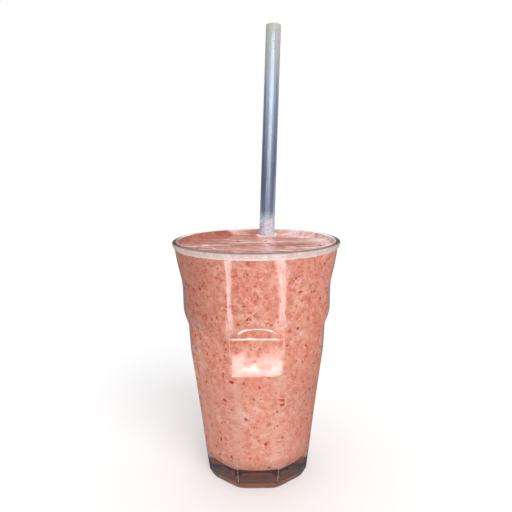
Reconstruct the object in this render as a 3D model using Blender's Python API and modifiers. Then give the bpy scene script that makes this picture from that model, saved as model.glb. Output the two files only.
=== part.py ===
"""Fruit smoothie in a nine-sided pressed-glass tumbler, with a clear drinking straw.

Metres, +Z up. The origin is the centre of the tumbler's foot, on the surface that it stands on.
The middle of one of the nine panels faces -Y. The straw stands near the back and leans towards +Y.
"""

import math

import bpy
from mathutils import Vector

# Driving dimensions of the tumbler
GLASS_HEIGHT = 0.124
RIM_RADIUS = 0.044
LIP_THICKNESS = 0.0026
PANELS = 9
FOOT_APOTHEM = 0.0258
EDGE_Z = 0.0041
EDGE_APOTHEM = 0.0274
BELT_Z = 0.0625
BELT_APOTHEM = 0.0349
SHOULDER_Z = 0.0815
SHOULDER_APOTHEM = 0.0360
SHOULDER_TOP_Z = 0.0876
PANEL_TOP_Z = 0.1205
FLOOR_Z = 0.0073
FLOOR_ROUND = 0.0115
WALL = 0.0026

# The tapered panels bow in by this much half way up, and the belt's top edge leans out above them.
# Corners are rounded: least between the lower panels, more towards the foot.
TAPER_BOW = 0.0002
SHOULDER_LEAN = 0.44
LOWER_CORNER_ROUND = 0.0015
FOOT_CORNER_ROUND = 0.012
EDGE_BLEND = 0.0004

# Driving dimensions of the drink and the straw
LEVEL_Z = 0.121
CLEARANCE = 0.0003
STRAW_LENGTH = 0.228
STRAW_RADIUS = 0.0044
STRAW_BORE = 0.0034
STRAW_FOOT = Vector((0.0020, 0.0204, 0.017))
STRAW_THROUGH = Vector((0.0062, 0.0317, LEVEL_Z))
FROTH_RISE = 0.0093
FROTH_SLANT = 0.45

# Resolution: the steps round each turned shape
GLASS_STEPS = 72
DRINK_STEPS = 72
STRAW_STEPS = 32
ARC_STEPS = 5
TINY = 0.00001

# Outlines as (height, radius). FLARE is the round body under the rim, UPPER_PANEL the distance of
# the curved upper panels from the axis, UPPER_ROUNDING the radius of the corners between them, and
# HOLLOW the round inside above its floor. The upper panels are shallow scoops in a round body.
LIP_Z = GLASS_HEIGHT - LIP_THICKNESS / 2
FLARE = [
    (SHOULDER_Z, 0.0424),
    (0.106, 0.0424),
    (0.1133, 0.0420),
    (0.1175, 0.0424),
    (0.1212, 0.0433),
    (LIP_Z, RIM_RADIUS),
]
UPPER_PANEL = [
    (SHOULDER_Z, 0.0379),
    (0.084, 0.0382),
    (SHOULDER_TOP_Z, 0.03865),
    (0.0964, 0.0387),
    (0.1012, 0.0390),
    (0.106, 0.0398),
    (0.1133, 0.0415),
    (PANEL_TOP_Z, 0.0427),
    (LIP_Z, 0.0450),
]
UPPER_ROUNDING = [
    (SHOULDER_TOP_Z, 0.0340),
    (0.0916, 0.0280),
    (0.0964, 0.0230),
    (0.1012, 0.0210),
    (0.106, 0.0240),
    (0.1133, 0.0360),
    (0.117, 0.0410),
    (PANEL_TOP_Z, 0.0427),
]
HOLLOW = [
    (FLOOR_Z + FLOOR_ROUND, 0.0260),
    (0.0226, 0.0265),
    (0.0456, 0.0297),
    (BELT_Z, BELT_APOTHEM - WALL),
    (0.076, 0.0332),
    (SHOULDER_Z, 0.0337),
    (0.0873, 0.0347),
    (0.094, 0.0356),
    (0.1012, 0.0364),
    (0.106, 0.0371),
    (0.113, 0.0382),
    (0.118, 0.0393),
    (LEVEL_Z, 0.0404),
    (LIP_Z, RIM_RADIUS - LIP_THICKNESS),
]
# Heights of the tumbler's outer rows of points, from the foot up to the lip
OUTER_ROWS = [0.0, EDGE_Z, 0.018, 0.033, 0.048, BELT_Z, 0.072, SHOULDER_Z, 0.0828, 0.0842, 0.0858]
OUTER_ROWS += [SHOULDER_TOP_Z, 0.0916, 0.0964, 0.1012, 0.106, 0.1095, 0.1133, 0.117, PANEL_TOP_Z]
OUTER_ROWS += [0.1216]


def along(outline, z):
    """The radius of an outline at height z, on straight stretches between its points."""
    for (z0, r0), (z1, r1) in zip(outline, outline[1:]):
        if z <= z1:
            return r0 + (r1 - r0) * max(z - z0, 0.0) / (z1 - z0)
    return outline[-1][1]


def lower_panel(z):
    """Distance from the axis of the lower panels: foot, bowed taper, belt, leaning top edge."""
    if z < EDGE_Z:
        return FOOT_APOTHEM + (EDGE_APOTHEM - FOOT_APOTHEM) * z / EDGE_Z
    if z < BELT_Z:
        t = (z - EDGE_Z) / (BELT_Z - EDGE_Z)
        return EDGE_APOTHEM + (BELT_APOTHEM - EDGE_APOTHEM) * t - TAPER_BOW * 4 * t * (1 - t)
    if z < SHOULDER_Z:
        t = (z - BELT_Z) / (SHOULDER_Z - BELT_Z)
        return BELT_APOTHEM + (SHOULDER_APOTHEM - BELT_APOTHEM) * t
    return SHOULDER_APOTHEM + SHOULDER_LEAN * (z - SHOULDER_Z)


def section(apothem, corner, angle):
    """Radius of a regular polygon with rounded corners, at an angle from a panel's middle."""
    half = math.pi / PANELS
    angle = abs((angle + half) % (2 * half) - half)
    centre = (apothem - corner) / math.cos(half)
    if angle <= math.atan2((apothem - corner) * math.tan(half), apothem):
        return apothem / math.cos(angle)
    off = half - angle
    return centre * math.cos(off) + math.sqrt(corner**2 - (centre * math.sin(off)) ** 2)


def blended_min(a, b):
    """The smaller of two radii, rounded over where they are nearly equal."""
    near = max(EDGE_BLEND - abs(a - b), 0.0) / EDGE_BLEND
    return min(a, b) - near * near * EDGE_BLEND / 4


def pressed_radius(z, angle):
    """Outer radius of the tumbler: the round body with both rows of panels pressed into it."""
    towards_foot = max(1.0 - z / EDGE_Z, 0.0)
    corner = LOWER_CORNER_ROUND + (FOOT_CORNER_ROUND - LOWER_CORNER_ROUND) * towards_foot
    lower = section(lower_panel(z), corner, angle)
    if z < SHOULDER_Z:
        return lower
    apothem = along(UPPER_PANEL, z)
    upper = section(apothem, min(along(UPPER_ROUNDING, z), apothem), angle)
    return blended_min(blended_min(along(FLARE, z), upper), lower)


def arc(centre_r, centre_z, radius, start, end, steps=ARC_STEPS):
    """Profile points (radius, height) on an arc, its angles in degrees from straight outwards."""
    turns = [math.radians(start + (end - start) * i / steps) for i in range(steps + 1)]
    return [(centre_r + radius * math.cos(a), centre_z + radius * math.sin(a)) for a in turns]


def collection(name):
    made = bpy.data.collections.new(name)
    bpy.context.scene.collection.children.link(made)
    return made


def material(name, colour, roughness, transmission=0.0):
    made = bpy.data.materials.new(name)
    made.use_nodes = True
    shader = made.node_tree.nodes["Principled BSDF"]
    shader.inputs["Base Color"].default_value = (*colour, 1.0)
    shader.inputs["Roughness"].default_value = roughness
    shader.inputs["Metallic"].default_value = 0.0
    shader.inputs["Transmission Weight"].default_value = transmission
    made.diffuse_color = (*colour, 1.0)
    return made


def turned(name, profile, steps, into):
    """A solid turned round Z from (radius, height) points that run down its outer side."""
    mesh = bpy.data.meshes.new(name)
    edges = [(i, i + 1) for i in range(len(profile) - 1)]
    if profile[0][0] > 0:
        edges.append((len(profile) - 1, 0))
    mesh.from_pydata([(r, 0.0, z) for r, z in profile], edges, [])
    turned_object = bpy.data.objects.new(name, mesh)
    into.objects.link(turned_object)
    screw = turned_object.modifiers.new("turn", "SCREW")
    screw.axis = "Z"
    screw.steps = steps
    screw.render_steps = steps
    screw.use_merge_vertices = True
    screw.merge_threshold = TINY
    screw.use_smooth_shade = True
    return turned_object


def freeze(made):
    """Applies an object's modifiers, so that its vertices can be moved."""
    bpy.context.view_layer.update()
    evaluated = made.evaluated_get(bpy.context.evaluated_depsgraph_get())
    blank = made.data
    made.data = bpy.data.meshes.new_from_object(evaluated)
    made.modifiers.clear()
    made.data.name = made.name
    bpy.data.meshes.remove(blank)


def finish(made, surface):
    """Gives an object its material and smooth shading with sharp edges kept."""
    made.data.materials.clear()
    made.data.materials.append(surface)
    made.data.shade_smooth()
    made.data.set_sharp_from_angle(angle=math.radians(30))


def straw_axis():
    return (STRAW_THROUGH - STRAW_FOOT).normalized()


def stand_on_straw_axis(made):
    """Puts an object that was turned round Z onto the straw's leaning axis."""
    made.rotation_mode = "QUATERNION"
    made.rotation_quaternion = Vector((0, 0, 1)).rotation_difference(straw_axis())
    made.location = STRAW_FOOT


def build_tumbler(into):
    """A turned blank whose straight outer wall is then pressed in to the faceted outside."""
    lip_r = RIM_RADIUS - LIP_THICKNESS / 2
    wall_foot = HOLLOW[0]
    floor = arc(wall_foot[1] - FLOOR_ROUND, wall_foot[0], FLOOR_ROUND, 270, 360)
    inside = [(r, z) for z, r in HOLLOW[1:-1]]
    lip = arc(lip_r, LIP_Z, LIP_THICKNESS / 2, 180, 0, 8)
    outside = [(RIM_RADIUS, z) for z in reversed(OUTER_ROWS)]
    profile = [(0.0, FLOOR_Z)] + floor + inside + lip + outside + [(0.0, 0.0)]
    tumbler = turned("tumbler", profile, GLASS_STEPS, into)
    freeze(tumbler)
    for vertex in tumbler.data.vertices:
        x, y, z = vertex.co
        radius = math.hypot(x, y)
        if z <= OUTER_ROWS[-1] + TINY and radius > RIM_RADIUS - TINY:
            scale = pressed_radius(z, math.atan2(x, -y)) / radius
            vertex.co = (x * scale, y * scale, z)
    finish(tumbler, material("glass", (0.93, 0.95, 0.95), 0.02, 1.0))


def surface_relief(x, y):
    """Height of the drink's top over its level: ridges, a collar of froth, a rise at the wall."""
    radius = math.hypot(x, y)
    angle = math.atan2(y, x)
    swirl = math.sin(radius / 0.0017 + 2.0 * angle + 1.3 * math.sin(3 * angle + radius / 0.011))
    slow = math.sin(x / 0.0062 + 0.6) * math.sin(y / 0.0048 - 0.9)
    to_straw = math.hypot(x - STRAW_THROUGH.x, y - STRAW_THROUGH.y)
    collar = math.exp(-(((to_straw - STRAW_RADIUS - 0.0012) / 0.0013) ** 2))
    rise = math.exp((radius - along(HOLLOW, LEVEL_Z)) / 0.0012)
    return 0.00018 * swirl + 0.00028 * slow + 0.0007 * collar + 0.0006 * rise


def build_smoothie(into, cutters):
    rim_r = along(HOLLOW, LEVEL_Z) - CLEARANCE
    rings = 13
    top = [(rim_r * i / rings, LEVEL_Z) for i in range(rings)]
    side = [(r - CLEARANCE, z) for z, r in HOLLOW[-2::-1]]
    foot = HOLLOW[0]
    bottom = arc(foot[1] - FLOOR_ROUND, foot[0], FLOOR_ROUND - CLEARANCE, 0, -90)
    profile = top + side + bottom[1:] + [(0.0, FLOOR_Z + CLEARANCE)]
    smoothie = turned("smoothie", profile, DRINK_STEPS, into)
    freeze(smoothie)
    for vertex in smoothie.data.vertices:
        if vertex.co.z > LEVEL_Z - TINY:
            vertex.co.z += surface_relief(vertex.co.x, vertex.co.y)
    reach = STRAW_LENGTH / 2
    radius = STRAW_RADIUS + CLEARANCE
    bore_profile = [(0.0, reach), (radius, reach), (radius, -CLEARANCE), (0.0, -CLEARANCE)]
    bore = turned("straw_bore", bore_profile, STRAW_STEPS, cutters)
    stand_on_straw_axis(bore)
    bore.hide_render = True
    bore.display_type = "WIRE"
    cut = smoothie.modifiers.new("round_the_straw", "BOOLEAN")
    cut.operation = "DIFFERENCE"
    cut.object = bore
    finish(smoothie, material("smoothie", (0.76, 0.32, 0.22), 0.35))


def build_straw(into):
    middle = (STRAW_RADIUS + STRAW_BORE) / 2
    half = (STRAW_RADIUS - STRAW_BORE) / 2
    upper = arc(middle, STRAW_LENGTH - half, half, 180, 0)
    lower = arc(middle, half, half, 0, -180)
    straw = turned("straw", upper + lower, STRAW_STEPS, into)
    stand_on_straw_axis(straw)
    finish(straw, material("clear_straw", (0.72, 0.76, 0.78), 0.12, 0.9))


def build_smoothie_in_straw(into):
    """The drink inside the bore, which stands above the level with a slanted frothy top."""
    radius = STRAW_BORE - CLEARANCE
    depth = (STRAW_THROUGH - STRAW_FOOT).length
    top = depth + FROTH_RISE
    heights = [top, depth, depth / 2, 0.0]
    profile = [(0.0, top), (radius / 2, top)] + [(radius, z) for z in heights] + [(0.0, 0.0)]
    column = turned("smoothie_in_straw", profile, STRAW_STEPS // 2, into)
    freeze(column)
    for vertex in column.data.vertices:
        if vertex.co.z > top - TINY:
            vertex.co.z += FROTH_SLANT * vertex.co.x
    stand_on_straw_axis(column)
    finish(column, material("froth", (0.82, 0.62, 0.60), 0.45))


def main():
    for old in list(bpy.data.objects):
        bpy.data.objects.remove(old)
    parts = collection("fruit_smoothie")
    cutters = collection("cutters")
    build_tumbler(parts)
    build_smoothie(parts, cutters)
    build_straw(parts)
    build_smoothie_in_straw(parts)


main()
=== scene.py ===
"""The looks of a fruit smoothie in a nine-sided pressed-glass tumbler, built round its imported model.

Metres, +Z up, in the model's frame: the foot stands at z = 0 and the middle of one panel faces -Y.
"""

import math
import random
from typing import NamedTuple

import bmesh
import bpy
from mathutils import Matrix, Vector, noise


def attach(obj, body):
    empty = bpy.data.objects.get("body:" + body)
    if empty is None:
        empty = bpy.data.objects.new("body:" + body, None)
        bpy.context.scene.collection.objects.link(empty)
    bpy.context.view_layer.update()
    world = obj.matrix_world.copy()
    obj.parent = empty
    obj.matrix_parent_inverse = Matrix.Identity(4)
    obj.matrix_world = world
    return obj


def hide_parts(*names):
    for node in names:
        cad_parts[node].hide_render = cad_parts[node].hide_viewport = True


SEED = 17

# The tumbler, as in the model. Outlines are (height, radius).
GLASS_HEIGHT = 0.124
RIM_RADIUS = 0.044
LIP_THICKNESS = 0.0026
PANELS = 9
FOOT_APOTHEM = 0.0258
FOOT_BEVEL = 0.0003
EDGE_Z = 0.0041
EDGE_APOTHEM = 0.0274
BELT_Z = 0.0625
BELT_APOTHEM = 0.0349
SHOULDER_Z = 0.0815
SHOULDER_APOTHEM = 0.0360
PANEL_TOP_Z = 0.1205
FLOOR_Z = 0.0073
FLOOR_ROUND = 0.0115
RECESS_RADIUS = 0.0215
RECESS_DEPTH = 0.0015
TAPER_BOW = 0.0002
SHOULDER_LEAN = 0.44
PANEL_TOP_LEAN = 1.4
LOWER_CORNER_ROUND = 0.0012
FOOT_CORNER_ROUND = 0.012
EDGE_BLEND = 0.0003
CREASE = 0.0009
LIP_Z = GLASS_HEIGHT - LIP_THICKNESS / 2
LIP_MIDDLE = RIM_RADIUS - LIP_THICKNESS / 2

# The drink and the straw, as in the model. What fills the glass reaches just into its wall.
LEVEL_Z = 0.121
INTO_WALL = 0.0001
STRAW_LENGTH = 0.228
STRAW_RADIUS = 0.0044
STRAW_BORE = 0.0034
STRAW_FOOT = Vector((0.0020, 0.0204, 0.017))
STRAW_THROUGH = Vector((0.0062, 0.0317, LEVEL_Z))
STRAW_DEPTH = (STRAW_THROUGH - STRAW_FOOT).length
FROTH_RISE = 0.0093
FROTH_SLANT = 0.45
SWIRL = 22.0
FILM_CLIMB = 0.0021
FILM_DIP = 0.0004
FILM_THICKNESS = 0.0003

# The round body under the rim, the upper panels' distance from the axis, how far their corners are
# rounded, and the hollow. The panels are shallow scoops, deepest between the shoulder and the rim.
FLARE = [
    (SHOULDER_Z, 0.0424),
    (0.106, 0.0424),
    (0.1133, 0.0420),
    (0.1175, 0.0424),
    (0.1212, 0.0433),
    (LIP_Z, RIM_RADIUS),
]
UPPER_PANEL = [
    (SHOULDER_Z, 0.0379),
    (0.084, 0.0382),
    (0.0876, 0.03865),
    (0.0964, 0.0387),
    (0.1012, 0.0390),
    (0.106, 0.0398),
    (0.1133, 0.0415),
    (PANEL_TOP_Z, 0.0427),
]
UPPER_ROUNDING = [
    (0.0876, 0.0340),
    (0.0916, 0.0280),
    (0.0964, 0.0230),
    (0.1012, 0.0210),
    (0.106, 0.0240),
    (0.1133, 0.0360),
    (0.117, 0.0410),
    (PANEL_TOP_Z, 0.0427),
]
HOLLOW = [
    (FLOOR_Z + FLOOR_ROUND, 0.0260),
    (0.0226, 0.0265),
    (0.0456, 0.0297),
    (BELT_Z, 0.0323),
    (0.076, 0.0332),
    (SHOULDER_Z, 0.0337),
    (0.0873, 0.0347),
    (0.094, 0.0356),
    (0.1012, 0.0364),
    (0.106, 0.0371),
    (0.113, 0.0382),
    (0.118, 0.0393),
    (LEVEL_Z, 0.0404),
    (LIP_Z, RIM_RADIUS - LIP_THICKNESS),
]

# Resolution of the turned shapes
GLASS_STEPS = 32 * PANELS
DRINK_STEPS = 288
STRAW_STEPS = 64
DRINK_TOP_RINGS = 84
FROTH_TOP_RINGS = 16

# The heights at which the facets of the foot end and at which the drink starts to show behind them
FACETS_END_Z = 0.0083
DRINK_SHOWS_Z = 0.0112

# The camera stands where the photograph was taken from
CAMERA_PLACE = Vector((0.0, -0.2822, 0.1663))
CAMERA_PITCH = math.radians(-6.79)
CAMERA_ROLL = math.radians(-0.45)
CAMERA_LENS = 38.01
CAMERA_SHIFT = -0.0653

# The surroundings as matt pieces, gloss and clear pieces see them: strengths in front, behind, to the
# sides, above and below, the sideways reach over which the sides take over, and the same for height.
LIGHT_ON_MATT = {
    "front": 0.9, "behind": 0.85, "aside": 0.24, "above": 1.3, "below": 0.5,
    "narrow": 0.3, "wide": 0.75, "low": 0.5, "top": 0.9,
}
LIGHT_IN_GLOSS = {
    "front": 0.4, "behind": 0.16, "aside": 0.14, "above": 0.8, "below": 0.22,
    "narrow": 0.4, "wide": 0.8, "low": 0.16, "top": 0.6,
}
LIGHT_THROUGH = {
    "front": 0.8, "behind": 0.95, "aside": 0.12, "above": 0.16, "below": 0.7,
    "narrow": 0.22, "wide": 0.5, "low": 0.25, "top": 0.45,
}
KEY_LIGHT = 1.4
KEY_FROM = Vector((0.5, -1.0, 0.95))
KEY_SPREAD = math.radians(40)
BASE_GLOW = 0.0017
BASE_GLOW_Z = 0.0003
UPWARD = Matrix.Rotation(math.pi, 4, "X")


class Card(NamedTuple):
    """A glowing card that only gloss sees. Its angles are in degrees."""

    name: str
    spot: tuple  # distance from the glass's axis, turn about it from the front, height
    turns: tuple  # tilt from lying flat towards the glass, roll in its own plane
    size: tuple  # across, along
    watts: float
    softness: tuple  # how softly the glow fades to the edges, across and along
    lean: tuple = (0.0, 0.0)  # how far the glow leans to one end, across and along
    cone: float = 180.0  # the cone that it shines into


# What the glass mirrors: a patch on the front of its belt, the line and the arch over that, the bands
# down its corners to the right and to the left, and the shine of its foot. The last card is the straw's
# own, and lights nothing else.
CARDS = [
    Card(
        "front_card", (0.08, 0.0, 0.0466), (62.0, 5.0), (0.060, 0.018), 0.00182, (0.2, 0.5),
        lean=(-0.1, -1.0), cone=50.0,
    ),
    Card("edge_strip", (0.091, 0.0, 0.0125), (32.0, 0.0), (0.105, 0.009), 0.007, (0.2, 1.2), cone=28.0),
    Card("right_card", (0.30, 31.5, 0.001), (0.0, 0.0), (0.082, 0.36), 0.76, (0.8, 1.2)),
    Card("left_card", (0.30, -37.0, 0.001), (0.0, 0.0), (0.060, 0.36), 0.56, (0.8, 1.2)),
    Card("right_foot", (0.207, 41.0, -0.178), (45.0, 0.0), (0.08, 0.022), 0.03, (0.8, 0.8)),
    Card("left_foot", (0.207, -41.0, -0.178), (45.0, 0.0), (0.08, 0.022), 0.03, (0.8, 0.8)),
]
STRAW_CARD = Card("straw_card", (0.60, 0.0, 0.39), (90.0, 0.0), (0.80, 0.38), 7.0, (0.4, 0.8))


# ---- outlines and sections -------------------------------------------------------------------


def along(outline, z):
    """The radius of an outline at height z, on a smooth curve through its points."""
    if z <= outline[0][0]:
        return outline[0][1]
    for i in range(len(outline) - 1):
        (z0, r0), (z1, r1) = outline[i], outline[i + 1]
        if z > z1:
            continue
        za, ra = outline[max(i - 1, 0)]
        zb, rb = outline[min(i + 2, len(outline) - 1)]
        t = (z - z0) / (z1 - z0)
        slope0 = (r1 - ra) / (z1 - za) * (z1 - z0)
        slope1 = (rb - r0) / (zb - z0) * (z1 - z0)
        start = (2 * t**3 - 3 * t**2 + 1) * r0 + (t**3 - 2 * t**2 + t) * slope0
        return start + (3 * t**2 - 2 * t**3) * r1 + (t**3 - t**2) * slope1
    return outline[-1][1]


def lower_panel(z):
    """Distance from the axis of the lower panels: foot edge, bowed taper, belt, leaning top edge."""
    if z < EDGE_Z:
        return FOOT_APOTHEM + (EDGE_APOTHEM - FOOT_APOTHEM) * z / EDGE_Z
    if z < BELT_Z:
        t = (z - EDGE_Z) / (BELT_Z - EDGE_Z)
        return EDGE_APOTHEM + (BELT_APOTHEM - EDGE_APOTHEM) * t - TAPER_BOW * 4 * t * (1 - t)
    belt_lean = (SHOULDER_APOTHEM - BELT_APOTHEM) / (SHOULDER_Z - BELT_Z)
    over = max(z - SHOULDER_Z + CREASE, 0.0)
    bent = over * over / (4 * CREASE) if over < 2 * CREASE else over - CREASE
    return BELT_APOTHEM + belt_lean * (z - BELT_Z) + (SHOULDER_LEAN - belt_lean) * bent


def upper_panel(z):
    """Distance from the axis of the curved upper panels, which end in a short step under the rim."""
    return along(UPPER_PANEL, z) + PANEL_TOP_LEAN * max(z - PANEL_TOP_Z, 0.0)


def section(apothem, corner, angle):
    """Radius of a regular polygon with rounded corners, angle being measured from a panel's middle."""
    half = math.pi / PANELS
    angle = abs((angle + half) % (2 * half) - half)
    centre = (apothem - corner) / math.cos(half)
    if angle <= math.atan2((apothem - corner) * math.tan(half), apothem):
        return apothem / math.cos(angle)
    off = half - angle
    return centre * math.cos(off) + math.sqrt(corner**2 - (centre * math.sin(off)) ** 2)


def blended_min(a, b):
    """The smaller of two radii, rounded over where they are nearly equal."""
    near = max(EDGE_BLEND - abs(a - b), 0.0) / EDGE_BLEND
    return min(a, b) - near * near * EDGE_BLEND / 4


def pressed_radius(z, angle):
    """Outer radius of the tumbler: the round body with both rows of panels pressed into it."""
    towards_foot = max(1.0 - z / EDGE_Z, 0.0)
    corner = LOWER_CORNER_ROUND + (FOOT_CORNER_ROUND - LOWER_CORNER_ROUND) * towards_foot
    lower = section(lower_panel(z), corner, angle)
    if z < SHOULDER_Z - EDGE_BLEND:
        return lower
    apothem = upper_panel(z)
    upper = section(apothem, min(along(UPPER_ROUNDING, z), apothem), angle)
    return blended_min(blended_min(along(FLARE, z), upper), lower)


def spaced(start, stop, gap):
    """Heights from start up to but not including stop, no more than gap apart."""
    count = max(math.ceil((stop - start) / gap), 1)
    return [start + (stop - start) * i / count for i in range(count)]


def arc(centre_r, centre_z, radius, start, end, steps):
    """Profile points (radius, height) on an arc, its angles in degrees from straight outwards."""
    turns = [math.radians(start + (end - start) * i / steps) for i in range(steps + 1)]
    return [(centre_r + radius * math.cos(a), centre_z + radius * math.sin(a)) for a in turns]


# ---- mesh tools ------------------------------------------------------------------------------


def to_object(name, shape):
    """Turns a bmesh into an object in the scene."""
    mesh = bpy.data.meshes.new(name)
    shape.to_mesh(mesh)
    shape.free()
    made = bpy.data.objects.new(name, mesh)
    bpy.context.scene.collection.objects.link(made)
    return made


def about_axis(radius, angle, z):
    """A point at a distance from the axis and an angle about it, the front being at 0."""
    return radius * math.sin(angle), -radius * math.cos(angle), z


def revolve(name, rings, steps):
    """A closed solid from rings of points, each a function of angle giving (radius, height).

    The first and last rings are single points on the axis. Rings run down the outer side.
    """
    shape = bmesh.new()
    angles = [2 * math.pi * i / steps for i in range(steps)]
    top = shape.verts.new((0.0, 0.0, rings[0](0.0)[1]))
    bottom = shape.verts.new((0.0, 0.0, rings[-1](0.0)[1]))
    rows = []
    for ring in rings[1:-1]:
        points = [(a, *ring(a)) for a in angles]
        rows.append([shape.verts.new(about_axis(r, a, z)) for a, r, z in points])
    for i in range(steps):
        j = (i + 1) % steps
        shape.faces.new((top, rows[0][i], rows[0][j]))
        shape.faces.new((bottom, rows[-1][j], rows[-1][i]))
        for upper, lower in zip(rows, rows[1:]):
            shape.faces.new((upper[i], lower[i], lower[j], upper[j]))
    return finished(name, shape)


def hoop(name, profile, steps):
    """A closed ring from one loop of (radius, height) points at each angle."""
    shape = bmesh.new()
    rows = []
    for i in range(steps):
        a = 2 * math.pi * i / steps
        rows.append([shape.verts.new(about_axis(r, a, z)) for r, z in profile(a)])
    for i in range(steps):
        row, after = rows[i], rows[(i + 1) % steps]
        for j in range(len(row)):
            k = (j + 1) % len(row)
            shape.faces.new((row[j], row[k], after[k], after[j]))
    return finished(name, shape)


def finished(name, shape):
    """Turns a bmesh into an object, smooth but for its sharp edges."""
    bmesh.ops.recalc_face_normals(shape, faces=shape.faces)
    made = to_object(name, shape)
    made.data.shade_smooth()
    made.data.set_sharp_from_angle(angle=math.radians(40))
    return made


def fixed(r, z):
    """A round ring at one height, for revolve."""
    return lambda angle: (r, z)


def straw_matrix():
    """Carries a shape that was turned round Z onto the straw's leaning axis."""
    axis = (STRAW_THROUGH - STRAW_FOOT).normalized()
    turn = Vector((0, 0, 1)).rotation_difference(axis)
    return Matrix.Translation(STRAW_FOOT) @ turn.to_matrix().to_4x4()


# ---- node tools ------------------------------------------------------------------------------


def feed(tree, socket, value):
    """Links a value to a socket where it is itself a socket, and sets it where it is a number."""
    if isinstance(value, bpy.types.NodeSocket):
        tree.links.new(value, socket)
    else:
        socket.default_value = value


def add_node(tree, kind, **inputs):
    """A new node, its inputs given by name with _ for a space."""
    made = tree.nodes.new(kind)
    for name, value in inputs.items():
        feed(tree, made.inputs[name.replace("_", " ")], value)
    return made


def add_maths(tree, operation, *values):
    node = tree.nodes.new("ShaderNodeMath")
    node.operation = operation
    for socket, value in zip(node.inputs, values):
        feed(tree, socket, value)
    return node.outputs[0]


def product(tree, result, *factors):
    """The product of sockets and numbers."""
    for factor in factors:
        result = add_maths(tree, "MULTIPLY", result, factor)
    return result


class Nodes:
    """Builds a material's nodes, each call placing one and linking what it is given."""

    def __init__(self, name, stretch=None):
        self.material = bpy.data.materials.new(name)
        self.material.use_nodes = True
        self.tree = self.material.node_tree
        self.tree.nodes.clear()
        self.output = self.tree.nodes.new("ShaderNodeOutputMaterial")
        self.place = self.add("ShaderNodeTexCoord").outputs["Object"]
        if stretch:
            self.place = self.stretched(stretch)

    def add(self, kind, **inputs):
        return add_node(self.tree, kind, **inputs)

    def maths(self, operation, *values):
        return add_maths(self.tree, operation, *values)

    def times(self, *factors):
        return product(self.tree, *factors)

    def split(self, vector):
        """The three parts of a vector or a colour."""
        return tuple(self.add("ShaderNodeSeparateXYZ", Vector=vector).outputs)

    def stretched(self, scale, place=None):
        """Coordinates by which a pattern comes out squeezed by scale."""
        return self.add("ShaderNodeMapping", Vector=place or self.place, Scale=scale).outputs[0]

    def noise(self, scale, detail=3.0, roughness=0.55, distortion=0.0, place=None):
        looks = {"Scale": scale, "Detail": detail, "Roughness": roughness, "Distortion": distortion}
        return self.add("ShaderNodeTexNoise", Vector=place or self.place, **looks).outputs["Fac"]

    def voronoi(self, scale):
        return self.add("ShaderNodeTexVoronoi", Vector=self.place, Scale=scale).outputs["Distance"]

    def remap(self, value, low, high, to_low=0.0, to_high=1.0):
        """Carries the span low..high onto to_low..to_high, and holds it there outside."""
        ends = {"From_Min": low, "From_Max": high, "To_Min": to_low, "To_Max": to_high}
        return self.add("ShaderNodeMapRange", Value=value, **ends).outputs["Result"]

    def beyond(self, value, edge, soft):
        """0 below an edge and 1 above it, softly, or the other way round where soft is negative."""
        return self.remap(value, edge - soft, edge + soft)

    def mix(self, factor, a, b):
        """Mixes two colours, each a socket or a tuple of linear red, green and blue."""
        node = self.tree.nodes.new("ShaderNodeMix")
        node.data_type = "RGBA"
        for socket, value in ((node.inputs[0], factor), (node.inputs[6], a), (node.inputs[7], b)):
            feed(self.tree, socket, (*value, 1.0) if isinstance(value, tuple) else value)
        return node.outputs[2]

    def blend(self, factor, first, second):
        """Mixes two shaders."""
        node = self.tree.nodes.new("ShaderNodeMixShader")
        for socket, value in zip(node.inputs, (factor, first.outputs[0], second.outputs[0])):
            feed(self.tree, socket, value)
        return node

    def bump(self, height, strength, distance):
        node = self.add("ShaderNodeBump", Height=height, Strength=strength, Distance=distance)
        return node.outputs["Normal"]

    def principled(self, **inputs):
        return self.add("ShaderNodeBsdfPrincipled", **inputs)

    def show(self, shader):
        self.tree.links.new(shader.outputs[0], self.output.inputs["Surface"])
        return self.material


def linear(red, green, blue):
    """A colour given as 0-255 screen values, in linear light."""
    channels = (red / 255, green / 255, blue / 255)
    return tuple(c / 12.92 if c < 0.04045 else ((c + 0.055) / 1.055) ** 2.4 for c in channels)


# ---- materials -------------------------------------------------------------------------------


def let_light_through(nodes, shader, tint):
    """Clear pieces let lamps light what is in them: shadow and diffuse rays pass straight through."""
    path = nodes.add("ShaderNodeLightPath")
    straight = nodes.add("ShaderNodeBsdfTransparent", Color=(*tint, 1.0))
    either = nodes.maths("MAXIMUM", path.outputs["Is Shadow Ray"], path.outputs["Is Diffuse Ray"])
    return nodes.blend(either, shader, straight)


def from_corners(nodes, x, y):
    """Angle about the axis from the nearest corner between two panels. Whole turns keep it above 0."""
    turn = nodes.maths("ADD", nodes.maths("ARCTAN2", x, y), 10.0 * math.pi)
    return nodes.maths("PINGPONG", turn, math.pi / PANELS)


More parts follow.
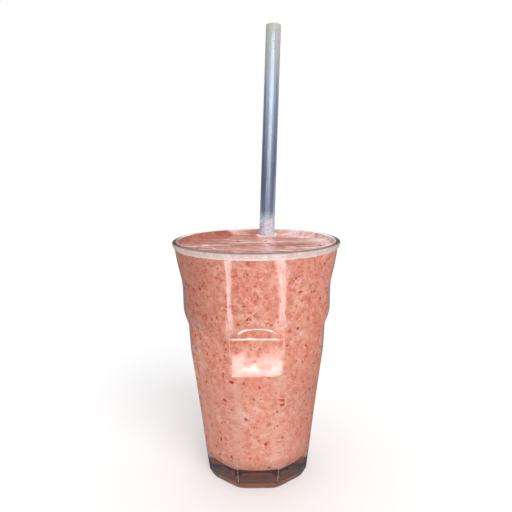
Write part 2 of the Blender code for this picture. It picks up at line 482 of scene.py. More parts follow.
def glass_tint_and_painted_refraction(nodes):
    """Clear, with painted dark refraction and painted shade over it: grey along the front of the lip,
    blue-grey in the facets of the foot with dark spots at their corners and a dark line along the
    foot's edge, and a painted pink refraction of the drink where it shows in the base.
    """
    x, y, height = nodes.split(nodes.place)
    # Painted shade: the top of the lip is greyed at the front and sides, standing in for the dark
    # surroundings that it bends.
    front = nodes.remap(y, 0.014, -0.004)
    lip = nodes.times(nodes.beyond(height, LIP_Z + 0.0007, 0.0002), front)
    # Painted dark refraction: the facets of the foot are tinted blue-grey, with darker painted streaks
    # across them.
    above_edge = nodes.remap(height, EDGE_Z, EDGE_Z + 0.0002)
    foot = nodes.times(nodes.beyond(height, FACETS_END_Z, -0.0005), above_edge)
    # Painted refraction of the drink: the glass turns pink in the band of the base where the drink
    # shows behind it.
    above_facets = nodes.beyond(height, FACETS_END_Z, 0.0005)
    painted_drink_refraction = nodes.times(nodes.beyond(height, DRINK_SHOWS_Z, -0.0004), above_facets)
    drawn = nodes.stretched((1.0, 1.0, 3.0))
    streaks = nodes.remap(nodes.noise(130.0, 4.0, 0.6, place=drawn), 0.52, 0.62)
    # Painted shade: dark spots at the corners of the foot's facets.
    at_corner = nodes.remap(from_corners(nodes, x, y), 0.075, 0.05)
    row = nodes.remap(height, 0.0066, 0.0084), nodes.remap(height, 0.0106, 0.0098)
    dark = nodes.times(at_corner, *row)
    # Painted shade: a dark line along the crease at the foot's edge.
    off_edge = nodes.maths("ABSOLUTE", nodes.maths("SUBTRACT", height, EDGE_Z))
    edge = nodes.remap(off_edge, 0.00035, 0.0001)
    colour = nodes.mix(foot, (0.97, 0.985, 0.985), (0.28, 0.56, 0.80))
    colour = nodes.mix(painted_drink_refraction, colour, (0.92, 0.53, 0.46))
    colour = nodes.mix(nodes.times(streaks, foot, 0.3), colour, (0.1, 0.2, 0.3))
    colour = nodes.mix(nodes.times(dark, 0.8), colour, (0.03, 0.05, 0.08))
    colour = nodes.mix(nodes.times(edge, 0.85), colour, (0.05, 0.05, 0.05))
    return nodes.mix(lip, colour, (0.12, 0.125, 0.125))


def glass_material():
    """Pressed glass: a little wavy and faintly smudged."""
    nodes = Nodes("pressed_glass")
    waves = nodes.maths("ADD", nodes.noise(55.0, 1.0), nodes.times(nodes.noise(240.0), 0.4))
    smudges = nodes.remap(nodes.noise(140.0, 4.0, 0.65, 0.6), 0.55, 0.75, 0.0, 0.05)
    glass = nodes.principled(
        Base_Color=glass_tint_and_painted_refraction(nodes),
        Roughness=smudges,
        IOR=1.52,
        Transmission_Weight=1.0,
        Normal=nodes.bump(waves, 0.12, 0.0006),
    )
    depth = nodes.add("ShaderNodeVolumeAbsorption", Color=(0.78, 0.79, 0.80, 1.0), Density=70.0)
    nodes.tree.links.new(depth.outputs[0], nodes.output.inputs["Volume"])
    return nodes.show(let_light_through(nodes, glass, (0.97, 0.98, 0.98)))


def ragged_place(nodes, scale, reach):
    """The object coordinates pushed about by a noise, so that round cells come out ragged."""
    wobble = nodes.add("ShaderNodeTexNoise", Vector=nodes.place, Scale=scale, Detail=3.0)
    shift = nodes.add("ShaderNodeVectorMath")
    shift.operation = "MULTIPLY_ADD"
    for socket, value in zip(shift.inputs, (wobble.outputs["Color"], (reach,) * 3, nodes.place)):
        feed(nodes.tree, socket, value)
    return shift.outputs[0]


def dots(nodes, place, apart, radius, share):
    """Soft spots in a share of the cells of a Voronoi pattern, apart and radius in metres."""
    cells = nodes.add("ShaderNodeTexVoronoi", Vector=place, Scale=1.0 / apart)
    luck, bulk, _ = nodes.split(cells.outputs["Color"])
    spread = radius / apart
    size = nodes.remap(bulk, 0.0, 1.0, spread * 0.55, spread * 1.35)
    near = nodes.maths("SUBTRACT", 1.0, nodes.maths("DIVIDE", cells.outputs["Distance"], size))
    return nodes.times(nodes.remap(near, 0.0, 0.6), nodes.maths("LESS_THAN", luck, share))


def drink_colour(nodes, tones):
    """The blended fruit: fine mottling with soft pulp, seeds and pale flesh; also gives its foam."""
    ragged = ragged_place(nodes, 900.0, 0.0014)
    flowing = ragged_place(nodes, 70.0, 0.016)
    mottled = nodes.remap(nodes.noise(340.0, 5.0, 0.65, 0.4), 0.40, 0.60)
    clouds = nodes.remap(nodes.noise(75.0, 3.0, 0.6, 0.6), 0.4, 0.62)
    grain = nodes.remap(nodes.noise(1200.0, 3.0, 0.6), 0.42, 0.62)
    lines = nodes.maths("ABSOLUTE", nodes.maths("SUBTRACT", nodes.noise(260.0, 2.0, 0.5, 1.2), 0.5))
    tangled = nodes.remap(nodes.noise(120.0, 2.0), 0.5, 0.6)
    strands = nodes.times(nodes.remap(lines, 0.003, 0.016, 1.0, 0.0), tangled)
    streaks = nodes.remap(nodes.noise(170.0, 6.0, 0.7, 0.3, place=flowing), 0.5, 0.64)
    smear = nodes.times(streaks, nodes.remap(nodes.noise(48.0, 2.0), 0.46, 0.58))
    colour = nodes.mix(mottled, tones["deep"], tones["pink"])
    colour = nodes.mix(nodes.times(clouds, 0.5), colour, tones["rosy"])
    colour = nodes.mix(nodes.times(grain, 0.4), colour, tones["pale"])
    colour = nodes.mix(nodes.times(strands, 0.5), colour, tones["foam"])
    for apart, radius, share, strength, tone in (
        (0.0048, 0.00180, 0.28, 0.45, "pulp"),
        (0.0030, 0.00085, 0.42, 0.90, "pulp"),
        (0.0026, 0.00075, 0.30, 0.60, "flesh"),
        (0.0046, 0.00060, 0.30, 0.90, "skin"),
        (0.0060, 0.00065, 0.25, 0.70, "seed"),
    ):
        spots = nodes.times(dots(nodes, ragged, apart, radius, share), strength)
        colour = nodes.mix(spots, colour, tones[tone])
    return nodes.mix(nodes.times(smear, 0.6), colour, tones["foam"]), smear


SIDE_TONES = {
    "deep": linear(214, 106, 81),
    "pink": linear(243, 164, 139),
    "rosy": linear(233, 130, 110),
    "pale": linear(250, 196, 174),
    "pulp": linear(206, 54, 38),
    "flesh": linear(252, 212, 172),
    "skin": linear(132, 30, 30),
    "seed": linear(170, 112, 44),
    "foam": linear(250, 212, 198),
}
# The top's tones: browner than the side, as the fruit's top is, and also darker as painted shade to
# make up for the stronger light from above.
TOP_TONES_WITH_PAINTED_SHADE = {
    "deep": linear(176, 92, 74),
    "pink": linear(204, 128, 110),
    "rosy": linear(186, 98, 80),
    "pale": linear(230, 172, 158),
    "pulp": linear(180, 58, 44),
    "flesh": linear(238, 196, 172),
    "skin": linear(132, 42, 40),
    "seed": linear(168, 120, 64),
    "foam": linear(248, 224, 218),
}


def drink_side_material():
    """The drink against the glass: matt, as no air lies between them. Its colour holds painted light
    along its lower corners, a painted glow below the belt, painted shade at the lower right and the
    upper left, and a paler painted bottom where little light reaches.
    """
    nodes = Nodes("smoothie_against_glass")
    colour, foam = drink_colour(nodes, SIDE_TONES)
    x, y, z = nodes.split(nodes.place)
    uneven = nodes.noise(420.0, place=nodes.stretched((1.0, 1.0, 0.15)))
    # Painted light: lighter strips down the lower corners, as if the thick glass gathered light there.
    painted_corner_light = nodes.times(
        nodes.remap(from_corners(nodes, x, y), 0.0, 0.13, 1.0, 0.0),
        nodes.remap(uneven, 0.3, 0.65, 0.1, 0.6),
        nodes.remap(z, BELT_Z + 0.01, BELT_Z - 0.004),
    )
    colour = nodes.mix(painted_corner_light, colour, linear(252, 188, 170))
    # Painted glow: the drink grows paler downward from just over the belt.
    glow = nodes.remap(z, BELT_Z + 0.012, 0.030, 0.0, 0.17)
    colour = nodes.mix(glow, colour, linear(254, 198, 178))
    # Painted shade: darker at the lower right and at the upper left.
    low_right = nodes.times(nodes.remap(x, 0.010, 0.030), nodes.remap(z, 0.080, 0.050))
    high_left = nodes.times(nodes.remap(x, -0.014, -0.036), nodes.remap(z, 0.078, 0.088))
    painted_shade = nodes.times(nodes.maths("MAXIMUM", low_right, high_left), 0.55)
    colour = nodes.mix(painted_shade, colour, linear(176, 102, 84))
    # Painted light: the bottom is painted paler and less red, to make up for the little light that
    # reaches it.
    under = nodes.remap(z, FLOOR_Z + 0.0022, FLOOR_Z + 0.0008)
    side = nodes.principled(
        Base_Color=nodes.mix(under, colour, linear(226, 151, 127)),
        Roughness=nodes.remap(foam, 0.0, 1.0, 0.6, 0.8),
        Specular_IOR_Level=0.15,
    )
    return nodes.show(side)


def drink_top_material():
    """The drink's open surface: wet, with froth and brown hollows drawn out sideways.

    Froth also rings the straw and gathers at the right of the back. A faint painted reflection of the
    straw runs from the straw to the front, under the straw's true reflection.
    """
    nodes = Nodes("smoothie_surface", (0.5, 1.3, 1.0))
    colour, foam = drink_colour(nodes, TOP_TONES_WITH_PAINTED_SHADE)
    drawn = nodes.stretched((0.4, 1.5, 1.0))
    ripples = nodes.noise(300.0, 4.0, 0.6, place=drawn)
    hollows = nodes.remap(nodes.noise(60.0, 5.0, 0.65, 0.5, place=drawn), 0.36, 0.50, 1.0, 0.0)
    froth = nodes.remap(nodes.noise(62.0, 6.0, 0.72, 0.4, place=drawn), 0.50, 0.62)
    patchy = nodes.remap(nodes.noise(170.0, 5.0, 0.7, place=drawn), 0.36, 0.56, 0.35, 1.0)
    spot = nodes.add("ShaderNodeTexCoord").outputs["Object"]
    x, y, _ = nodes.split(spot)
    # Painted reflection of the straw: a lighter streak from the straw to the front.
    middle = nodes.maths("ADD", nodes.times(y, 0.0198), 0.0056)
    ragged = nodes.times(nodes.maths("SUBTRACT", ripples, 0.5), 0.004)
    beside = nodes.maths("ABSOLUTE", nodes.maths("ADD", nodes.maths("SUBTRACT", x, middle), ragged))
    painted_straw_reflection = nodes.times(nodes.remap(beside, 0.0056, 0.0022), nodes.remap(y, 0.031, 0.028))
    to_straw = nodes.add("ShaderNodeVectorMath", Vector=spot)
    to_straw.operation = "DISTANCE"
    to_straw.inputs[1].default_value = STRAW_THROUGH
    ring = nodes.remap(to_straw.outputs["Value"], STRAW_RADIUS + 0.0024, STRAW_RADIUS + 0.0012)
    radius = nodes.maths("SQRT", nodes.maths("ADD", nodes.times(x, x), nodes.times(y, y)))
    outer = nodes.remap(radius, 0.027, 0.037)
    right = nodes.remap(nodes.maths("ADD", x, nodes.times(y, 0.4)), 0.012, 0.030)
    left = nodes.remap(nodes.maths("SUBTRACT", y, nodes.times(x, 0.8)), 0.018, 0.036)
    back_froth = nodes.times(outer, right, patchy)
    fresh = nodes.maths("MAXIMUM", nodes.times(nodes.maths("MAXIMUM", froth, back_froth), 0.75), ring)
    bubbles = nodes.remap(nodes.voronoi(1500.0), 0.0, 0.5, 1.0, 0.0)
    fine = nodes.times(bubbles, nodes.remap(fresh, 0.2, 0.9, 0.1, 1.0))
    colour = nodes.mix(nodes.times(hollows, 0.65), colour, linear(146, 74, 60))
    colour = nodes.mix(nodes.times(outer, left, 0.45), colour, linear(150, 78, 60))
    colour = nodes.mix(fresh, colour, TOP_TONES_WITH_PAINTED_SHADE["foam"])
    colour = nodes.mix(nodes.times(painted_straw_reflection, 0.22), colour, linear(252, 226, 222))
    top = nodes.principled(
        Base_Color=colour,
        Roughness=nodes.remap(nodes.maths("MAXIMUM", foam, fresh), 0.0, 1.0, 0.08, 0.35),
        IOR=1.45,
        Normal=nodes.bump(nodes.maths("ADD", nodes.times(fine, 0.15), ripples), 0.6, 0.00013),
    )
    return nodes.show(top)


def speck_material(name, dark, light, roughness=0.5):
    """Bits of fruit: each a little different, through a noise that is coarse against their size."""
    nodes = Nodes(name)
    tone = nodes.remap(nodes.noise(260.0, 2.0), 0.35, 0.65)
    grain = nodes.noise(2500.0, 2.0)
    bit = nodes.principled(
        Base_Color=nodes.mix(tone, dark, light),
        Roughness=roughness,
        Specular_IOR_Level=0.2,
        Normal=nodes.bump(grain, 0.3, 0.0001),
    )
    return nodes.show(bit)


def straw_material():
    """Clear plastic: slate grey and finely streaked along its length, beige and cloudy at its top, with
    a painted highlight as a pale stripe down the middle of its front and back.
    """
    nodes = Nodes("clear_straw")
    back = straw_matrix().inverted()
    own = nodes.add(
        "ShaderNodeMapping", Vector=nodes.place, Location=back.translation, Rotation=back.to_euler()
    ).outputs[0]
    aside = nodes.maths("ABSOLUTE", nodes.split(own)[0])
    height = nodes.split(nodes.place)[2]
    # Painted highlight: a pale stripe down the middle of the front and back, which also stays less
    # cloudy near the top.
    painted_core_highlight = nodes.remap(aside, 0.0008, 0.0022, 1.0, 0.0)
    end = nodes.times(nodes.remap(height, 0.2370, 0.2415), 0.85)
    flanks = nodes.times(nodes.remap(painted_core_highlight, 0.0, 1.0, 0.6, 0.12), nodes.remap(height, 0.206, 0.236))
    milky = nodes.maths("MAXIMUM", end, flanks)
    deep = nodes.times(nodes.remap(height, 0.236, 0.195), nodes.remap(height, 0.130, 0.136))
    low = nodes.remap(height, 0.200, 0.155)
    drawn = nodes.stretched((1.0, 1.0, 0.006), own)
    streaks = nodes.remap(nodes.noise(700.0, 3.0, 0.6, place=drawn), 0.40, 0.60)
    dark = nodes.mix(low, linear(172, 184, 202), linear(142, 150, 170))
    light = nodes.mix(low, linear(216, 226, 242), linear(172, 180, 200))
    cast = nodes.mix(deep, linear(222, 230, 240), nodes.mix(streaks, dark, light))
    straw = nodes.principled(
        Base_Color=nodes.mix(nodes.times(painted_core_highlight, 0.12), cast, linear(240, 246, 252)),
        Roughness=0.08,
        IOR=1.49,
        Transmission_Weight=0.88,
        Normal=nodes.bump(streaks, 0.1, 0.0002),
    )
    grain = nodes.mix(nodes.noise(900.0), linear(180, 178, 168), linear(194, 193, 184))
    cloudy = nodes.add("ShaderNodeBsdfDiffuse", Color=grain)
    plastic = nodes.blend(milky, straw, cloudy)
    return nodes.show(let_light_through(nodes, plastic, (0.85, 0.87, 0.9)))


def froth_material():
    """Froth drawn up inside the straw: tiny white bubbles with lilac-pink between them."""
    nodes = Nodes("froth")
    cells = nodes.voronoi(1300.0)
    bubbles = nodes.remap(cells, 0.15, 0.55)
    clouds = nodes.remap(nodes.noise(850.0, 4.0, 0.7), 0.52, 0.60)
    colour = nodes.mix(bubbles, linear(255, 254, 255), linear(250, 240, 246))
    colour = nodes.mix(nodes.times(clouds, 0.7), colour, linear(166, 148, 168))
    froth = nodes.principled(
        Base_Color=colour,
        Roughness=nodes.remap(cells, 0.0, 1.0, 0.2, 0.5),
        Normal=nodes.bump(bubbles, 0.6, 0.0002),
    )
    return nodes.show(froth)


def film_material():
    """A thin pale coat of froth, pinker where it is thin, with a painted highlight along its lower
    edge.
    """
    nodes = Nodes("froth_film")
    cells = nodes.voronoi(1900.0)
    bubbles = nodes.remap(cells, 0.1, 0.6)
    thin = nodes.remap(nodes.noise(240.0, 5.0, 0.65), 0.42, 0.66)
    hatched = nodes.remap(nodes.noise(1100.0, place=nodes.stretched((1.0, 1.0, 0.1))), 0.4, 0.6)
    colour = nodes.mix(bubbles, linear(255, 240, 236), linear(248, 222, 214))
    colour = nodes.mix(nodes.times(hatched, 0.5), colour, linear(226, 186, 176))
    colour = nodes.mix(nodes.times(thin, 0.5), colour, linear(234, 182, 168))
    # Painted highlight: nearly white along the film's lower edge at the drink.
    painted_brim_highlight = nodes.remap(nodes.split(nodes.place)[2], LEVEL_Z + 0.0005, LEVEL_Z + 0.0001)
    colour = nodes.mix(nodes.times(painted_brim_highlight, 0.8), colour, linear(255, 252, 250))
    film = nodes.principled(
        Base_Color=colour,
        Roughness=nodes.remap(cells, 0.0, 1.0, 0.3, 0.6),
        Specular_IOR_Level=0.3,
        Normal=nodes.bump(bubbles, 0.4, 0.0002),
    )
    return nodes.show(film)


def floor_material():
    nodes = Nodes("pale_floor")
    grain = nodes.noise(900.0, 3.0)
    floor = nodes.principled(
        Base_Color=nodes.mix(nodes.remap(grain, 0.3, 0.7), (0.88, 0.88, 0.88), (0.90, 0.90, 0.90)),
        Roughness=0.7,
        Specular_IOR_Level=0.2,
    )
    return nodes.show(floor)


# ---- pieces ----------------------------------------------------------------------------------


def tumbler_heights():
    """Heights of the outer rings, closest where an edge of a panel runs across them."""
    stretches = [
        (FOOT_BEVEL, EDGE_Z - 0.0006, 0.0006),
        (EDGE_Z - 0.0006, EDGE_Z + 0.0006, 0.0002),
        (EDGE_Z + 0.0006, BELT_Z - 0.001, 0.0016),
        (BELT_Z - 0.001, BELT_Z + 0.001, 0.0003),
        (BELT_Z + 0.001, SHOULDER_Z - 0.001, 0.0014),
        (SHOULDER_Z - 0.001, 0.0895, 0.00035),
        (0.0895, PANEL_TOP_Z - 0.001, 0.0011),
        (PANEL_TOP_Z - 0.001, LIP_Z - 0.0002, 0.0003),
    ]
    return [z for stretch in stretches for z in spaced(*stretch)]


def build_tumbler():
    """The glass as one closed shell: foot, panels, rolled lip, round hollow and thick floor."""

    def pressed(z):
        return lambda angle: (pressed_radius(z, angle), z)

    def foot(share, z):
        return lambda angle: (pressed_radius(FOOT_BEVEL, angle) * share, z)

    wall_foot = HOLLOW[0]
    corner = arc(wall_foot[1] - FLOOR_ROUND, wall_foot[0], FLOOR_ROUND, 270, 360, 10)
    inside = [(along(HOLLOW, z), z) for z in spaced(wall_foot[0], LIP_Z, 0.002)[1:]]
    lip = arc(LIP_MIDDLE, LIP_Z, LIP_THICKNESS / 2, 180, 0, 14)
    rings = [fixed(0.0, FLOOR_Z), fixed(0.005, FLOOR_Z), fixed(0.010, FLOOR_Z)]
    rings += [fixed(r, z) for r, z in corner + inside + lip]
    rings += [pressed(z) for z in reversed(tumbler_heights())]
    rings += [foot(0.993, 0.0), foot(0.9, 0.0)]
    shares = [1.0 - i / 12 for i in range(13)]
    rings += [fixed(RECESS_RADIUS * share, RECESS_DEPTH * (1 - share**2)) for share in shares]
    tumbler = revolve("glass_tumbler", rings, GLASS_STEPS)
    tumbler.data.materials.append(glass_material())
    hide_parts("tumbler")
    return tumbler


def ridged(place):
    """Sharp crests between soft hollows, from 0 to 1."""
    return (1.0 - min(2.2 * abs(noise.noise(place)), 1.0)) ** 2


def surface_relief(x, y):
    """Height of the drink's top over its level: stirred ridges, a collar of froth, a wetted edge."""
    radius = math.hypot(x, y)
    turn = SWIRL * radius
    along_ridge = x * math.cos(turn) - y * math.sin(turn)
    across_ridge = x * math.sin(turn) + y * math.cos(turn)
    broad = ridged(Vector((along_ridge * 42.0, across_ridge * 130.0, 5.0)))
    narrow = ridged(Vector((along_ridge * 110.0, across_ridge * 330.0, 1.0)))
    slow = math.sin(x / 0.0062 + 0.6) * math.sin(y / 0.0048 - 0.9)
    rough = noise.fractal(Vector((x, y, 0.0)) * 240.0, 0.6, 2.0, 4)
    to_straw = math.hypot(x - STRAW_THROUGH.x, y - STRAW_THROUGH.y)
    collar = math.exp(-(((to_straw - STRAW_RADIUS - 0.0010) / 0.0013) ** 2))
    rise = math.exp((radius - along(HOLLOW, LEVEL_Z)) / 0.0012)
    flat = 0.00032 * broad + 0.00012 * narrow + 0.00016 * slow - 0.00024
    return flat + 0.00012 * rough + (0.0011 + 0.0004 * rough) * collar + 0.0003 * rise


def build_smoothie():
    """The drink: its side follows the hollow, and its top is ridged and frothy."""
    rim_r = along(HOLLOW, LEVEL_Z) + INTO_WALL

    def open_top(share):
        def ring(angle):
            r = rim_r * share
            x, y, z = about_axis(r, angle, LEVEL_Z)
            return r, z + surface_relief(x, y)

        return ring

    foot = HOLLOW[0]
    heights = spaced(foot[0], LEVEL_Z - 0.0004, 0.0022)
    side = [(along(HOLLOW, z) + INTO_WALL, z) for z in reversed(heights)]
    bottom = arc(foot[1] - FLOOR_ROUND, foot[0], FLOOR_ROUND + INTO_WALL, 0, -90, 10)
    rings = [open_top(i / DRINK_TOP_RINGS) for i in range(DRINK_TOP_RINGS + 1)]
    rings += [fixed(r, z) for r, z in side + bottom[1:]]
    rings += [fixed(0.008, FLOOR_Z - INTO_WALL), fixed(0.0, FLOOR_Z - INTO_WALL)]
    smoothie = revolve("smoothie_body", rings, DRINK_STEPS)
    smoothie.data.materials.append(drink_side_material())
    smoothie.data.materials.append(drink_top_material())
    for face in smoothie.data.polygons:
        face.material_index = int(face.center.z > LEVEL_Z - 0.001 and face.normal.z > 0.3)
    cut_round_straw(smoothie)
    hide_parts("smoothie")
    return smoothie


def cut_round_straw(drink):
    """Takes the straw's place out of the drink, which then reaches just into the straw's wall."""
    radius = STRAW_RADIUS - INTO_WALL
    top = STRAW_DEPTH + 0.01
    rings = [fixed(0.0, top), fixed(radius, top), fixed(radius, 0.0), fixed(0.0, 0.0)]
    cutter = revolve("straw_place", rings, STRAW_STEPS)
    cutter.matrix_world = straw_matrix()
    cut = drink.modifiers.new("round_the_straw", "BOOLEAN")
    cut.object = cutter
    cut.operation = "DIFFERENCE"
    bpy.context.view_layer.update()
    evaluated = drink.evaluated_get(bpy.context.evaluated_depsgraph_get())
    whole = drink.data
    drink.data = bpy.data.meshes.new_from_object(evaluated)
    drink.modifiers.clear()
    bpy.data.meshes.remove(whole)
    bpy.data.objects.remove(cutter)


def build_straw():
    """A clear tube with both ends rounded over."""
    middle = (STRAW_RADIUS + STRAW_BORE) / 2
    half = (STRAW_RADIUS - STRAW_BORE) / 2
    heights = [half + 0.0004] + spaced(half, STRAW_LENGTH - half, 0.01)[1:]
    heights.append(STRAW_LENGTH - half - 0.0004)
    loop = arc(middle, STRAW_LENGTH - half, half, 180, 0, 8)
    loop += [(STRAW_RADIUS, z) for z in reversed(heights)]
    loop += arc(middle, half, half, 0, -180, 8)
    loop += [(STRAW_BORE, z) for z in heights]
    straw = hoop("clear_straw", lambda angle: loop, STRAW_STEPS)
    straw.data.transform(straw_matrix())
    straw.data.materials.append(straw_material())
    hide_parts("straw")
    return straw


def build_froth_in_straw():
    """The drink in the bore, with its slanted frothy top above the level."""
    radius = STRAW_BORE + INTO_WALL / 2
    top = STRAW_DEPTH + FROTH_RISE

    def slanted(share):
        def ring(angle):
            x, y, z = about_axis(radius * share, angle, top)
            lumps = 0.0013 * noise.fractal(Vector((x, y, 0.0)) * 700.0, 0.5, 2.0, 5)
            return radius * share, z + FROTH_SLANT * x + lumps

        return ring

    rings = [slanted(i / FROTH_TOP_RINGS) for i in range(FROTH_TOP_RINGS + 1)]
    rings += [fixed(radius, z) for z in reversed(spaced(0.0, STRAW_DEPTH, 0.004))]
    rings += [fixed(0.0, 0.0)]
    froth = revolve("froth_in_straw", rings, STRAW_STEPS)
    froth.data.transform(straw_matrix())
    froth.data.materials.append(froth_material())
    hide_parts("smoothie_in_straw")
    return froth


def wall_radius(z):
    """Radius of the glass's inner face, also where it rolls over into the lip."""
    if z <= LIP_Z:
        return along(HOLLOW, z)
    return LIP_MIDDLE - math.sqrt((LIP_THICKNESS / 2) ** 2 - (z - LIP_Z) ** 2)


def build_froth_specks():
    """Bits of froth that stick to the bore above the column."""
    draw = random.Random(f"{SEED} froth_specks")
    top = STRAW_DEPTH + FROTH_RISE
    shape = bmesh.new()
    for _ in range(26):
        angle = draw.uniform(0.0, 2 * math.pi)
        size = draw.uniform(0.00014, 0.00036)
        rise = FROTH_SLANT * STRAW_BORE * math.sin(angle) + 0.0036 * draw.random() ** 1.8
        outward = Vector(about_axis(1.0, angle, 0.0))
        place = outward * STRAW_BORE + Vector((0.0, 0.0, top + rise))
        add_bit(shape, draw, place, outward, size, 0.00012, 0.6)
    specks = finished("froth_specks", shape)
    specks.data.transform(straw_matrix())
    specks.data.materials.append(bpy.data.materials["froth"])
    return specks


def build_froth_film():
    """Froth that clings to the glass from the drink's edge up to the lip, both its edges ragged."""

    def loop(angle):
        round_trip = Vector((math.sin(angle), math.cos(angle), 0.0))
        patchy = noise.noise(round_trip * 2.3 + Vector((4.0, 1.0, 7.0)))
        ragged = noise.fractal(round_trip * 9.0, 0.6, 2.2, 5)
        drips = noise.fractal(round_trip * 16.0 + Vector((2.0, 5.0, 3.0)), 0.6, 2.2, 5)
        backward = min(max(0.3 - 1.2 * math.cos(angle), 0.0), 1.0)
        climb = FILM_CLIMB * min(max(0.95 + 0.3 * patchy + 0.2 * ragged, 0.6 + 0.4 * backward), 1.0)
        climb += 0.0006 * backward
        thick = FILM_THICKNESS * (1.0 + 0.7 * noise.noise(round_trip * 14.0))
        shares = [i / 6 for i in range(7)]
        dip = FILM_DIP * min(max(1.0 + 1.6 * drips, 0.3), 2.2)
        heights = [LEVEL_Z - dip + (dip + climb) * share for share in shares]
        outer = [(wall_radius(z) + 1.6 * INTO_WALL, z) for z in heights]
        inner = [
            (wall_radius(z) - thick * math.sqrt(1.02 - share), z - 0.0001 * share)
            for z, share in zip(heights, shares)
        ]
        return outer + inner[::-1]

    film = hoop("froth_film", loop, DRINK_STEPS * 2)
    film.data.materials.append(film_material())
    film.data.materials.append(bpy.data.materials["smoothie_surface"])
    for face in film.data.polygons:
        inward = Vector((-face.center.x, -face.center.y, 0.0))
        face.material_index = int(face.normal.dot(inward) > 0)
    return film


def side_radius(z):
    """Radius of the drink's side, also where it rounds over to its bottom."""
    foot_z, foot_r = HOLLOW[0]
    if z >= foot_z:
        return along(HOLLOW, z)
    return foot_r - FLOOR_ROUND + math.sqrt(FLOOR_ROUND**2 - (foot_z - z) ** 2)


def wall_spot(draw):
    """A random place on the drink's side, spread evenly, with its outward direction."""
    while True:
        z = draw.uniform(FLOOR_Z + 0.0008, LEVEL_Z - 0.0008)
        r = side_radius(z)
        if draw.random() < r / RIM_RADIUS:
            break
    angle = draw.uniform(0.0, 2 * math.pi)
    slope = (side_radius(z + 0.0005) - side_radius(z - 0.0005)) / 0.001
    outward = Vector(about_axis(1.0, angle, -slope)).normalized()
    return Vector(about_axis(r, angle, z)), outward


def top_spot(draw):
    """A random place on the drink's open top, clear of the straw."""
    while True:
        x, y = draw.uniform(-0.04, 0.04), draw.uniform(-0.04, 0.04)
        clear = math.hypot(x - STRAW_THROUGH.x, y - STRAW_THROUGH.y) > STRAW_RADIUS + 0.0006
        if clear and math.hypot(x, y) < 0.0392:
            break
    return Vector((x, y, LEVEL_Z + surface_relief(x, y))), Vector((0, 0, 1))


def bottom_spot(draw):
    """A random place on the flat of the drink's bottom."""
    angle = draw.uniform(0.0, 2 * math.pi)
    r = (HOLLOW[0][1] - FLOOR_ROUND) * math.sqrt(draw.random())
    return Vector(about_axis(r, angle, FLOOR_Z)), Vector((0, 0, -1))


def add_bit(shape, draw, place, outward, size, proud, ragged):
    """Adds one small irregular bit to a mesh: a squashed ball whose points are pushed about."""
    turn = Vector((0, 0, 1)).rotation_difference(outward).to_matrix()
    spin = Matrix.Rotation(draw.uniform(0, 2 * math.pi), 3, "Z")
    stretch = draw.uniform(1.0, 1.4)
    scale = Matrix.Diagonal((size * stretch, size / stretch**0.5, proud))
    offset = Vector([draw.uniform(-9, 9) for _ in range(3)])
    made = bmesh.ops.create_icosphere(shape, subdivisions=2, radius=1.0)
    for vertex in made["verts"]:
        push = 1.0 + ragged * noise.noise(vertex.co * 1.6 + offset)
        flat = scale @ (vertex.co * push)
        vertex.co = place + turn @ (spin @ flat)


def build_bits(name, material, counts, sizes, ragged):
    """One mesh of many small bits, on the drink's side, top and bottom."""
    draw = random.Random(f"{SEED} {name}")
    shape = bmesh.new()
    for spot, count in zip((wall_spot, top_spot, bottom_spot), counts):
        for _ in range(count):
            place, outward = spot(draw)
            size = sizes[0] + (sizes[1] - sizes[0]) * draw.random() ** 2.2
            add_bit(shape, draw, place, outward, size, 0.00022, ragged)
    bits = to_object(name, shape)
    bits.data.shade_smooth()
    bits.data.materials.append(material)
    return bits


def build_all_bits():
    """Pulp, specks of skin and seeds, each kind a mesh of its own."""
    pulp = speck_material("red_pulp", linear(196, 44, 30), linear(226, 88, 62))
    dark = speck_material("dark_specks", linear(96, 26, 28), linear(140, 40, 40))
    seed = speck_material("fruit_seeds", linear(190, 132, 60), linear(216, 166, 96), 0.35)
    return [
        build_bits("red_pulp_flecks", pulp, (560, 40, 26), (0.00028, 0.00095), 0.9),
        build_bits("dark_specks", dark, (126, 14, 8), (0.00014, 0.0004), 0.5),
        build_bits("seeds", seed, (44, 3, 2), (0.0003, 0.0006), 0.3),
    ]


# ---- stage -----------------------------------------------------------------------------------


def build_floor():
    """A pale floor just under the foot, which the glass doesn't mirror."""
    shape = bmesh.new()
    bmesh.ops.create_grid(shape, x_segments=1, y_segments=1, size=3.0)
    floor = to_object("floor", shape)
    floor.location.z = -0.0001
    floor.data.materials.append(floor_material())
    floor.visible_glossy = False


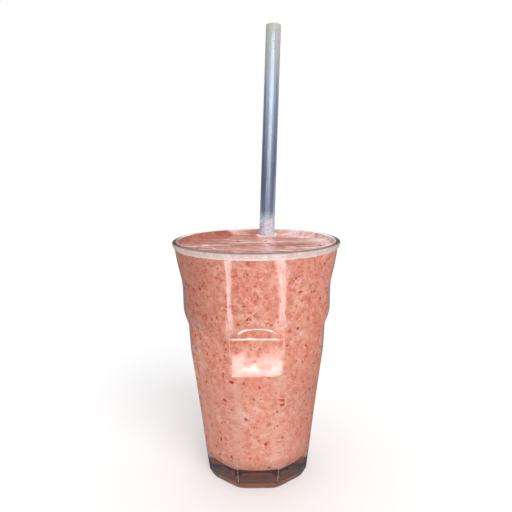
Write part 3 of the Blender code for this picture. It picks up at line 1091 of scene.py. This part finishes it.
def build_world():
    """A white backdrop. What the glass mirrors and bends is softer, and darker to both sides."""
    world = bpy.data.worlds.new("studio")
    world.use_nodes = True
    tree = world.node_tree
    coordinates = add_node(tree, "ShaderNodeTexCoord").outputs["Generated"]
    towards = add_node(tree, "ShaderNodeSeparateXYZ", Vector=coordinates)
    sideways = add_maths(tree, "ABSOLUTE", towards.outputs["X"])

    def step(value, low, high, **ends):
        node = add_node(tree, "ShaderNodeMapRange", Value=value, From_Min=low, From_Max=high, **ends)
        return node.outputs["Result"]

    def mixed(factor, a, b):
        return add_node(tree, "ShaderNodeMix", Factor=factor, A=a, B=b).outputs["Result"]

    def spread(front, behind, aside, above, below, narrow, wide, low, top):
        """Strength by direction: front to back, fading to the sides, and its own above and below."""
        level = step(towards.outputs["Y"], -0.3, 0.3, To_Min=front, To_Max=behind)
        level = mixed(step(sideways, narrow, wide), level, aside)
        level = mixed(step(towards.outputs["Z"], low, top), level, above)
        return mixed(step(towards.outputs["Z"], 0.0, -0.1), level, below)

    path = add_node(tree, "ShaderNodeLightPath")
    light = spread(**LIGHT_ON_MATT)
    light = mixed(path.outputs["Is Glossy Ray"], light, spread(**LIGHT_IN_GLOSS))
    light = mixed(path.outputs["Is Transmission Ray"], light, spread(**LIGHT_THROUGH))
    seen = mixed(path.outputs["Is Camera Ray"], light, 1.0)
    background = tree.nodes["Background"]
    background.inputs["Color"].default_value = (1.0, 1.0, 1.0, 1.0)
    tree.links.new(seen, background.inputs["Strength"])
    bpy.context.scene.world = world


def placed(name, data, matrix):
    """Adds a lamp or a camera to the scene."""
    made = bpy.data.objects.new(name, data)
    bpy.context.scene.collection.objects.link(made)
    made.matrix_world = matrix
    return made


def add_card(card):
    """Adds a card to the scene, its glow a little cloudy and fading to its edges."""
    light = bpy.data.lights.new(card.name, "AREA")
    light.shape = "RECTANGLE"
    light.size, light.size_y = card.size
    light.energy = card.watts
    light.spread = math.radians(card.cone)
    light.use_nodes = True
    tree = light.node_tree
    across = tree.nodes.new("ShaderNodeNewGeometry").outputs["Parametric"]
    split = add_node(tree, "ShaderNodeSeparateXYZ", Vector=across)
    clouds = add_node(tree, "ShaderNodeTexNoise", Vector=across, Scale=5.0)
    glow = add_maths(tree, "SUBTRACT", product(tree, clouds.outputs["Fac"], 3.6), 0.8)
    for value, soft, tip in zip(split.outputs, card.softness, card.lean):
        arch = product(tree, value, 4.0, add_maths(tree, "SUBTRACT", 1.0, value))
        leaning = add_maths(tree, "ADD", product(tree, value, 2.0 * tip), 1.0 - tip)
        glow = product(tree, glow, product(tree, add_maths(tree, "POWER", arch, soft), leaning))
    tree.links.new(glow, tree.nodes["Emission"].inputs["Strength"])
    distance, turn, height = card.spot
    turn = math.radians(turn)
    place = Vector(about_axis(distance, turn, height))
    tilt, roll = (math.radians(angle) for angle in card.turns)
    facing = Matrix.Rotation(turn, 4, "Z") @ Matrix.Rotation(-tilt, 4, "X") @ UPWARD
    made = placed(card.name, light, Matrix.Translation(place) @ facing @ Matrix.Rotation(roll, 4, "Z"))
    made.visible_camera = made.visible_diffuse = made.visible_transmission = False
    return made


def build_lights(straw):
    """A broad soft key from the front, the cards, the straw's own card, which lights the straw alone,
    and the light that the foot gathers under the drink.
    """
    sun = bpy.data.lights.new("soft_key", "SUN")
    sun.energy = KEY_LIGHT
    sun.angle = KEY_SPREAD
    key = placed("soft_key", sun, KEY_FROM.to_track_quat("Z", "Y").to_matrix().to_4x4())
    key.visible_glossy = False
    for card in CARDS:
        add_card(card)
    only_straw = bpy.data.collections.new("only_straw")
    only_straw.objects.link(straw)
    add_card(STRAW_CARD).light_linking.receiver_collection = only_straw
    glow = bpy.data.lights.new("base_glow", "AREA")
    glow.shape = "DISK"
    glow.size = 2 * RECESS_RADIUS
    glow.energy = BASE_GLOW
    under = placed("base_glow", glow, Matrix.Translation((0.0, 0.0, BASE_GLOW_Z)) @ UPWARD)
    under.visible_camera = under.visible_glossy = under.visible_transmission = False


def build_camera():
    """The camera, placed and shifted as for the photograph."""
    data = bpy.data.cameras.new("camera")
    data.lens = CAMERA_LENS
    data.sensor_width = 36.0
    data.sensor_fit = "HORIZONTAL"
    data.shift_y = CAMERA_SHIFT
    data.clip_start = 0.01
    tilt = Matrix.Rotation(math.pi / 2 + CAMERA_PITCH, 4, "X")
    roll = Matrix.Rotation(CAMERA_ROLL, 4, "Z")
    bpy.context.scene.camera = placed("camera", data, Matrix.Translation(CAMERA_PLACE) @ tilt @ roll)


def main():
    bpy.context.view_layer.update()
    straw = build_straw()
    pieces = [build_tumbler(), build_smoothie(), straw, build_froth_in_straw()]
    pieces += [build_froth_specks(), build_froth_film(), *build_all_bits()]
    for piece in pieces:
        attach(piece, "root")
    build_floor()
    build_world()
    build_lights(straw)
    build_camera()
    bpy.context.scene.view_settings.view_transform = "Standard"
    bpy.context.view_layer.update()


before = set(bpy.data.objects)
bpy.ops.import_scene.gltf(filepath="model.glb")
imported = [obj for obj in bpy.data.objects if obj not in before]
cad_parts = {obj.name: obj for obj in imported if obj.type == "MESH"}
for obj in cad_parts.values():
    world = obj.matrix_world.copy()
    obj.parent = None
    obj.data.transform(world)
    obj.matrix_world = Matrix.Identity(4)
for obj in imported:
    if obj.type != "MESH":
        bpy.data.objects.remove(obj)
main()
